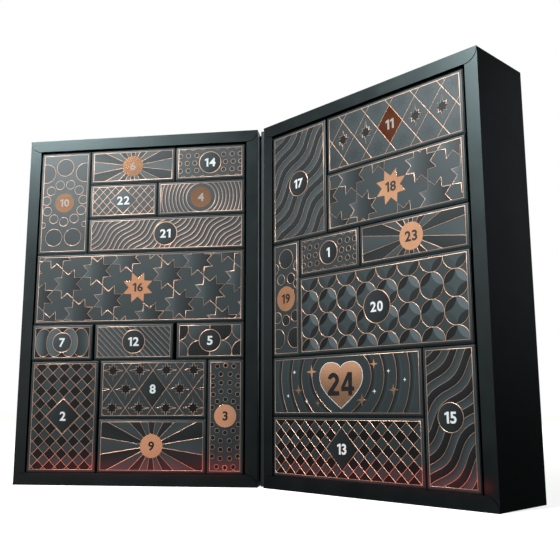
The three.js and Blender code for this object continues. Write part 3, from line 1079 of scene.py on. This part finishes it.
# Fronts 15, 17 and 21, waves: slanting lines that all sway together, round a ring, over bands that
# are printed in turn lighter and darker. The lines of 17 are the finest.
WAVES = {
    21: {"ring": 16.0, "lean": 44.9, "spacing": 6.4, "sway": 3.0, "length": 49.6, "start": -10.2,
         "shift": 1.2, "tones": ((0.80, 0.22), (0.80, 0.22))},
    17: {"ring": 16.0, "lean": 45.2, "spacing": 9.1, "sway": 4.4, "length": 70.9, "start": -19.7,
         "shift": -4.3, "tones": ((0.66, 0.52), (0.18, 0.30))},
    15: {"ring": 15.0, "lean": 45.6, "spacing": 8.8, "sway": 4.3, "length": 70.4, "start": -17.5,
         "shift": 3.3, "tones": ((0.05, 0.16), (0.60, 0.46))},
}
for day, wave in WAVES.items():
    lean = math.radians(wave["lean"])
    half_width, half_height = frame_half(day)
    reach = math.hypot(half_width, half_height) + wave["spacing"]
    count = math.ceil(reach / wave["spacing"])
    lines = []
    for k in range(-count, count + 1):
        line = []
        for step in range(math.ceil(reach)):
            along = 2.0 * step - reach
            sway = wave["sway"] * math.sin(math.tau * (along - wave["start"]) / wave["length"])
            aside = k * wave["spacing"] + wave["shift"] + sway
            line.append((along * math.cos(lean) - aside * math.sin(lean),
                         along * math.sin(lean) + aside * math.cos(lean)))
        lines.append(line)
    bands = []
    for k, line, next_line in zip(range(-count, count), lines, lines[1:]):
        first, last = wave["tones"][k % 2]
        for j in range(len(line) - 1):
            bands.append([(*line[j], first), (*line[j + 1], first),
                          (*next_line[j + 1], last), (*next_line[j], last)])
    printed(day, bands)
    strokes = [(line, False) for line in lines]
    fine, hair = ([], strokes) if day == 17 else (strokes, [])
    ringed(day, wave["ring"], fine, hair)


# Fronts 16 and 18, star tiles: eight-pointed stars set point to point on a tilted square grid. The
# middle one is solid foil, and the others are outlined and shaded from light to dark.
TILE_PITCH = 44.4
TILE_TILT = 22.5
TILE_STAR = (21.6, 12.6)
tilt = math.radians(TILE_TILT)
for day in (16, 18):
    stars, fills = [], []
    for row in range(-4, 5):
        for column in range(-4, 5):
            across, up = column * TILE_PITCH, row * TILE_PITCH
            x = across * math.cos(tilt) - up * math.sin(tilt)
            y = across * math.sin(tilt) + up * math.cos(tilt)
            if (column, row) != (0, 0):
                outline = star(x, y, TILE_STAR, turned=TILE_TILT)
                stars.append(outline)
                fills.append(toned(outline, fade(x - 20, y, 40, 0, 0.80, 0.02)))
    printed(day, fills)
    stamp(day, fine=stars, solids=[star(0, 0, TILE_STAR, turned=TILE_TILT)])
    number(day)


# Front 7, four ovals of printed tone that overlap behind a ring, each given by its middle, half its
# width and its tones at the left and the right. Front 5, circles that touch and leave four-pointed
# shapes, with short upright lines.
OVALS = (
    (-26.0, 11.5, 0.95, 0.05),
    (26.0, 11.5, 0.10, 0.70),
    (-10.0, 12.0, 0.80, 0.60),
    (10.0, 12.0, 0.50, 0.85),
)
OVAL_HEIGHT = 18.8


def outside_oval(x, half_wide):
    return lambda px, py: math.hypot((px - x) / half_wide, py / OVAL_HEIGHT) > 1


ovals, shaded, clear = [], [], []
for x, half_wide, first, last in OVALS:
    oval = [(x + px * half_wide / OVAL_HEIGHT, py) for px, py in circle(0, 0, OVAL_HEIGHT, 64)[0]], True
    ovals.append(oval)
    shaded.append(toned(oval, fade(x - half_wide, 0, 2 * half_wide, 0, first, last)))
    clear.append(outside_oval(x, half_wide))
seen = trimmed(ovals[:2], lambda x, y: clear[2](x, y) and clear[3](x, y))
seen += trimmed(ovals[2:3], clear[3]) + ovals[3:]
printed(7, [[(-60, -30, 0.12), (60, -30, 0.12), (60, 30, 0.12), (-60, 30, 0.12)]])
printed(7, shaded[:2], "outer_tones", 0.04)
printed(7, shaded[2:3], "inner_tones", 0.05)
printed(7, shaded[3:], "front_tones", 0.055)
ringed(7, 13.3, fine=seen, tones=(0.60, 0.40))
QUATREFOIL = 14.6
touching, lenses = [], []
for column in (-3, -1, 1, 3):
    for row in (-1, 1):
        x, y = column * QUATREFOIL, row * QUATREFOIL
        touching.append(circle(x, y, QUATREFOIL, 48))
        tone = 0.70 if (column + row) % 4 == 0 else 0.14
        lenses.append(toned(circle(x, y, QUATREFOIL, 36), fade(x - 14, y + 14, 28, -28, tone, 0.5 * tone)))
uprights = [([(x, side * QUATREFOIL), (x, side * 30)], False) for x in (-29.2, 0, 29.2) for side in (-1, 1)]
printed(5, lenses)
ringed(5, 14.4, fine=touching + uprights)


# Fronts 2 and 13, lattices: crossing lines that make a chequer of small diamonds, round a large
# plain diamond with a bolder outline.
LATTICES = {2: (16.2, 16.2, 23.3, 22.9), 13: (16.5, 15.6, 23.7, 24.5)}
for day, (cell_width, cell_height, half_wide, half_high) in LATTICES.items():
    half_width, half_height = frame_half(day)
    slope = cell_height / cell_width
    reach = half_width + half_height / slope
    count = math.ceil(reach / cell_width)
    lines, cells = [], []
    for k in range(-count, count + 1):
        x = (k + 0.5) * cell_width
        for lean in (1, -1):
            lines.append(slanted(x, lean * reach, reach * slope))
    for column in range(-count, count + 1):
        for row in range(-count, count + 1):
            x, y = column * cell_width, row * cell_height
            cells.append(toned(diamond(x, y, cell_width / 2, cell_height / 2), 0.04))
            x, y = x + cell_width / 2, y + cell_height / 2
            cells.append(toned(diamond(x, y, cell_width / 2, cell_height / 2), 0.50))
    plain = diamond(0, 0, half_wide, half_high)
    printed(day, cells)
    medallion(day, plain)
    stamp(day, fine=trimmed(lines, outside_diamond(half_wide, half_high)), bold=[plain])
    number(day, height=12.0)


# Fronts 8 and 11, harlequin: tall diamonds with a long-pointed star in each, and a plain or a solid
# foil diamond for the number.
HARLEQUINS = {8: (18.2, 24.4, 0.0), 11: (17.6, 23.0, 1.2)}
for day, (half_wide, half_high, rise) in HARLEQUINS.items():
    lines, stars, fills = [], [], []
    reach = 4 * half_high
    run = 4 * half_wide
    for k in range(-12, 13):
        x = (2 * k + 1) * half_wide
        for lean in (1, -1):
            lines.append(slanted(x, lean * run, reach, rise))
    for column in range(-6, 7):
        for row in (-1, 0, 1):
            if (column + row) % 2 == 0 and (column, row) != (0, 0):
                x, y = column * half_wide, rise + row * half_high
                outline = star(x, y, (13.8, 4.8, 7.8, 4.8))
                if day == 8 or row == 0:
                    stars.append(outline)
                    fills.append(toned(star(x, y, (6.0, 4.6)), 0.02))
                else:
                    fills.append(toned(star(x, y, (11.0, 4.6)), 0.40))
    middle = diamond(0, rise, half_wide, half_high)
    if day == 8:
        medallion(8, middle)
        stamp(8, fine=lines + stars)
    else:
        # The diamond of 11 takes the darkest copper, with painted shade.
        stamp(11, fine=lines + stars, solids=[middle], solid_finish=deep_shade_painted_foil)
    printed(day, fills)
    number(day, y=rise)


# Front 20, beads: touching foil circles, each holding a paler hollow-sided star between four
# petals that are shaded like facets.
BEAD = 14.7
BEAD_RISE = 14.5
BEAD_PETALS = (0.85, 0.06, 0.50, 0.16)


def bead_arc(x, y, start, steps):
    """Points of a bead's circle round a place, from an angle on in sixteenths of half a turn."""
    turns = [start + math.pi / 16 * k for k in steps]
    return [(x + BEAD * math.cos(turn), y + BEAD * math.sin(turn)) for turn in turns]


beads, fills = [], []
for column in range(-7, 8, 2):
    for row in range(-3, 4, 2):
        x, y = column * BEAD, row * BEAD_RISE
        beads.append(circle(x, y, BEAD, 48))
        hollow = []
        for quarter, tone in enumerate(BEAD_PETALS):
            start = math.pi / 2 * quarter
            corner_x = x + BEAD * (math.cos(start) - math.sin(start))
            corner_y = y + BEAD * (math.cos(start) + math.sin(start))
            petal = bead_arc(x, y, start, range(9))
            petal += bead_arc(corner_x, corner_y, start + math.pi, range(1, 8))
            hollow += bead_arc(corner_x, corner_y, start + 1.5 * math.pi, range(0, -8, -1))
            fills.append([(px, py, tone) for px, py in petal])
        fills.append([(px, py, 0.56) for px, py in hollow])
printed(20, fills)
ringed(20, 18.7, fine=beads, steps=56)


# Front 24, the heart: a solid foil heart and the largest number, inside heart lines that widen to
# the frame, with four-pointed sparkles between them. The glint on the heart's raised edge is painted
# highlight, a domed line of white ink.
HEART_HALF = (
    ((0.0, 19.5), (2.5, 23.6), (9.0, 25.8), (16.5, 25.8)),
    ((16.5, 25.8), (26.0, 25.8), (32.9, 18.5), (32.9, 9.0)),
    ((32.9, 9.0), (32.9, -5.5), (14.0, -17.0), (0.0, -27.5)),
)
HEART_LINES = (12.2, 30.0, 47.0, 64.8)
HEART_BAND = 7.0
HEART_GLINT_WIDTH = 0.8
COPPER_SPARKS = (
    (-46, 16, 8.5), (-68, -5.5, 7), (-36.5, -21, 4.5), (31, -18, 7.5), (49, 21.5, 5.5),
    (75, -7.5, 6.5),
)
WHITE_SPARKS = (
    (-75, 16.5, 2.8), (-86, -12, 2.6), (-54.5, -18.5, 2.8), (49, -8.5, 2.8), (69, 13, 2.6),
    (90.5, 3, 2.4),
)
BIG_NUMBER_HEIGHT = 26.5


def heart_side(grown):
    """The right side of the heart from its notch to its tip, moved out by some millimetres."""
    spots = []
    for a, b, c, d in HEART_HALF:
        for k in range(16):
            t = k / 16
            shares = ((1 - t) ** 3, 3 * t * (1 - t) ** 2, 3 * t * t * (1 - t), t ** 3)
            spots.append(tuple(sum(s * p[i] for s, p in zip(shares, (a, b, c, d))) for i in (0, 1)))
    spots.append(HEART_HALF[-1][-1])
    side = []
    for before, here, after in zip(spots[:1] + spots, spots, spots[1:] + spots[-1:]):
        along = Vector((after[0] - before[0], after[1] - before[1])).normalized()
        side.append((here[0] - along.y * grown, here[1] + along.x * grown))
    return [(x, y) for x, y in side if x >= -0.001]


def whole_heart(grown):
    side = heart_side(grown)
    return side + [(-x, y) for x, y in side[::-1] if x > 0.001], True


bands = []
for grown in HEART_LINES:
    inner, outer = heart_side(grown), heart_side(grown + HEART_BAND)
    count = min(len(inner), len(outer))
    inner, outer = inner[-count:], outer[-count:]
    for flip in (1, -1):
        for j in range(count - 1):
            dark = [(flip * x, y, 0.02) for x, y in inner[j:j + 2]]
            light = [(flip * x, y, 0.62) for x, y in outer[j:j + 2]]
            bands.append(dark + light[::-1])
printed(24, bands)
sparks = [star(x, y, (r, 0.26 * r), points=4) for x, y, r in COPPER_SPARKS]
stamp(24, fine=[whole_heart(grown) for grown in HEART_LINES], solids=[whole_heart(0.0), *sparks])
# The glint along the heart's edge is painted highlight: a domed line of white ink.
heart_glint = foil_lines("carton_24_heart_edge", [whole_heart(0.0)], HEART_GLINT_WIDTH)
press_on(24, heart_glint, white_ink, LINE_SMOOTH)
white_sparks = []
for x, y, r in WHITE_SPARKS:
    outline = star(x, y, (r, 0.3 * r), points=4)
    white_sparks.append(drawn_curve(
        "carton_24_sparkles", [outline], dimensions="2D", fill_mode="BOTH", extrude=SOLID_HEIGHT))
press_on(24, join_to(*white_sparks), white_ink)
number(24, height=BIG_NUMBER_HEIGHT, y=0.5)
